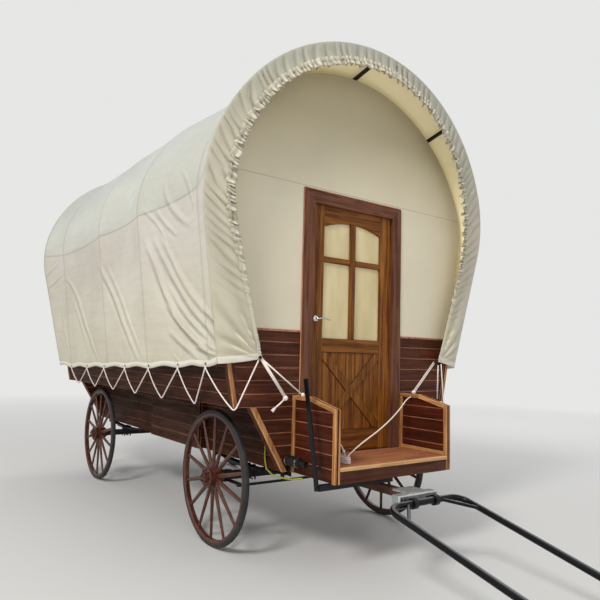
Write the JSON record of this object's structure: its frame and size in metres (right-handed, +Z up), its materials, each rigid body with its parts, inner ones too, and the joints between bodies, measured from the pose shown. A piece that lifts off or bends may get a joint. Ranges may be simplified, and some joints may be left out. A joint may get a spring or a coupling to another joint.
{
  "type": "covered wagon",
  "caption": "Horse-drawn covered wagon with a plank cabin, arched canvas roof on bows, braced door with lights, front porch, spoked wheels and shafts.",
  "frame": {"origin": "on the ground under the middle of the whole wagon, shafts and canvas included", "axes": "+X the travel direction towards the shafts, +Y the wagon left side, +Z up"},
  "size_m": [7.3716, 3, 4.0598],
  "materials": {
    "steel_frame": "satin black paint",
    "galvanised": "dull galvanised grey",
    "shaft_paint": "gloss black paint",
    "plank": "dark red-brown stained planks",
    "trim_wood": "honey stained trim",
    "door_wood": "oiled warm brown",
    "frame_wood": "dark red-brown stain",
    "panel": "matt cream board",
    "canvas": "waxed cotton canvas",
    "floor_wood": "stained boards",
    "wheel_paint": "brown paint",
    "tyre": "black rubber",
    "glass": "clear",
    "chrome": "polished",
    "brake_black": "satin black",
    "rope": "white braided rope"
  },
  "bodies": {
    "body": {"chassis_frame": "steel_frame", "floor": "floor_wood", "lower_wall_right": "plank", "lower_wall_left": "plank", "skirt_right": "plank", "skirt_left": "plank", "shelf_right": "plank", "shelf_left": "plank", "side_wall_right": "plank", "side_wall_left": "plank", "cap_rail_right": "plank", "cap_rail_left": "plank", "front_wainscot": "plank", "front_panel": "panel", "rear_wainscot": "plank", "rear_panel": "panel", "front_trims": "trim_wood", "rear_trims": "trim_wood", "door_frame": "frame_wood", "bow_frame": "steel_frame", "canvas_cover": "canvas", "porch_deck": "floor_wood", "porch_frame": "plank", "porch_side_right": "plank", "porch_side_left": "plank", "rear_axle": "steel_frame", "rear_springs": "steel_frame", "front_axle": "steel_frame", "front_springs": "steel_frame", "brake_lever": "brake_black", "brake_actuator": "brake_black", "rope_free": "rope", "rope_hank": "rope"},
    "door": {"door_leaf": "door_wood", "door_glass": "glass", "door_handle": "chrome"},
    "rear_wheel_right": {"rear_wheel_right": "wheel_paint", "rear_tyre_right": "tyre"},
    "rear_wheel_left": {"rear_wheel_left": "wheel_paint", "rear_tyre_left": "tyre"},
    "front_wheel_right": {"front_wheel_right": "wheel_paint", "front_tyre_right": "tyre"},
    "front_wheel_left": {"front_wheel_left": "wheel_paint", "front_tyre_left": "tyre"},
    "knuckle_right": {"knuckle_right": "steel_frame"},
    "knuckle_left": {"knuckle_left": "steel_frame"},
    "tie_rod": {"tie_rod": "steel_frame"},
    "drawbar": {"drawbar": "steel_frame", "drawbar_head": "galvanised"},
    "shafts": {"shafts": "shaft_paint"}
  },
  "joints": [
    {"name": "door_hinge", "type": "hinge", "parent": "body", "child": "door", "pos_m": [0.82585, 0.4495, 1.76], "axis": [0, 0, -1], "range_deg": [0, 90]},
    {"name": "drawbar_yaw", "type": "hinge", "parent": "body", "child": "drawbar", "pos_m": [0.29385, 0, 0.5335], "axis": [0, 0, 1], "range_deg": [-20, 20]},
    {"name": "shafts_pitch", "type": "hinge", "parent": "drawbar", "child": "shafts", "pos_m": [1.68385, 0, 0.5185], "axis": [0, -1, 0], "range_deg": [0, 55]},
    {"name": "steer_right", "type": "hinge", "parent": "body", "child": "knuckle_right", "pos_m": [0.29385, -0.8, 0.5335], "axis": [0, 0, 1], "range_deg": [-20, 20]},
    {"name": "steer_left", "type": "hinge", "parent": "body", "child": "knuckle_left", "pos_m": [0.29385, 0.8, 0.5335], "axis": [0, 0, 1], "range_deg": [-20, 20]},
    {"name": "tie_rod_eye", "type": "hinge", "parent": "knuckle_right", "child": "tie_rod", "pos_m": [0.47385, -0.8, 0.49], "axis": [0, 0, 1], "range_deg": [-20, 20]},
    {"name": "rear_right_spin", "type": "hinge", "parent": "body", "child": "rear_wheel_right", "pos_m": [-2.62115, -0.9345, 0.5335], "axis": [0, 1, 0], "continuous": true},
    {"name": "rear_left_spin", "type": "hinge", "parent": "body", "child": "rear_wheel_left", "pos_m": [-2.62115, 0.9345, 0.5335], "axis": [0, 1, 0], "continuous": true},
    {"name": "front_right_spin", "type": "hinge", "parent": "knuckle_right", "child": "front_wheel_right", "pos_m": [0.29385, -0.9345, 0.5335], "axis": [0, 1, 0], "continuous": true},
    {"name": "front_left_spin", "type": "hinge", "parent": "knuckle_left", "child": "front_wheel_left", "pos_m": [0.29385, 0.9345, 0.5335], "axis": [0, 1, 0], "continuous": true}
  ],
  "couplings": [
    {"joint": "steer_right", "follows": "drawbar_yaw", "ratio": 1},
    {"joint": "steer_left", "follows": "drawbar_yaw", "ratio": 1},
    {"joint": "tie_rod_eye", "follows": "drawbar_yaw", "ratio": -1}
  ]
}
